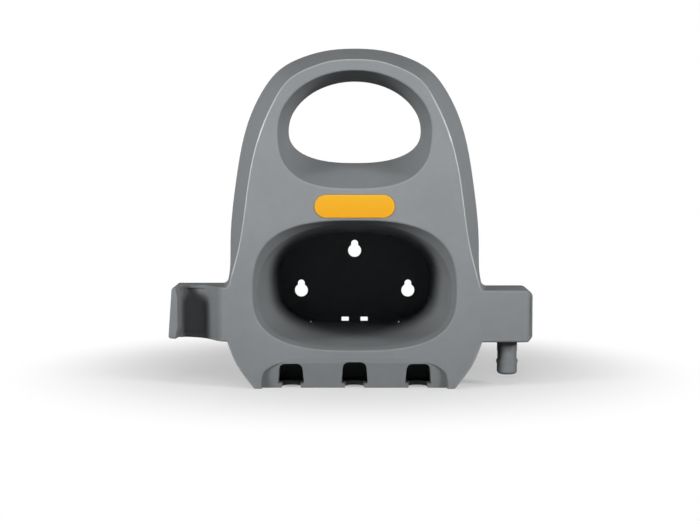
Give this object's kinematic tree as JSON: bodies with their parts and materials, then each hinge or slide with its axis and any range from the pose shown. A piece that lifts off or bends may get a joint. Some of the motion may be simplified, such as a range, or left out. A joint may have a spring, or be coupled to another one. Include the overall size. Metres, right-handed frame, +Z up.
{
  "type": "garden hose hanger",
  "caption": "Grey moulded wall hanger for a garden hose, with an arched handle, a deep pocket, two arms and slots for hose fittings.",
  "frame": {"origin": "midpoint between the two lower screw keyholes, on the plane of the wall", "axes": "+Z up, +Y into the wall, +X to the right of a person facing the hanger"},
  "size_m": [0.3327, 0.1507, 0.3115],
  "materials": {
    "grey_plastic": "fine grained, satin",
    "amber_label": "glossy"
  },
  "bodies": {
    "root": {"front_shell": "grey_plastic", "rear_arch": "grey_plastic", "badge": "amber_label"}
  },
  "joints": []
}
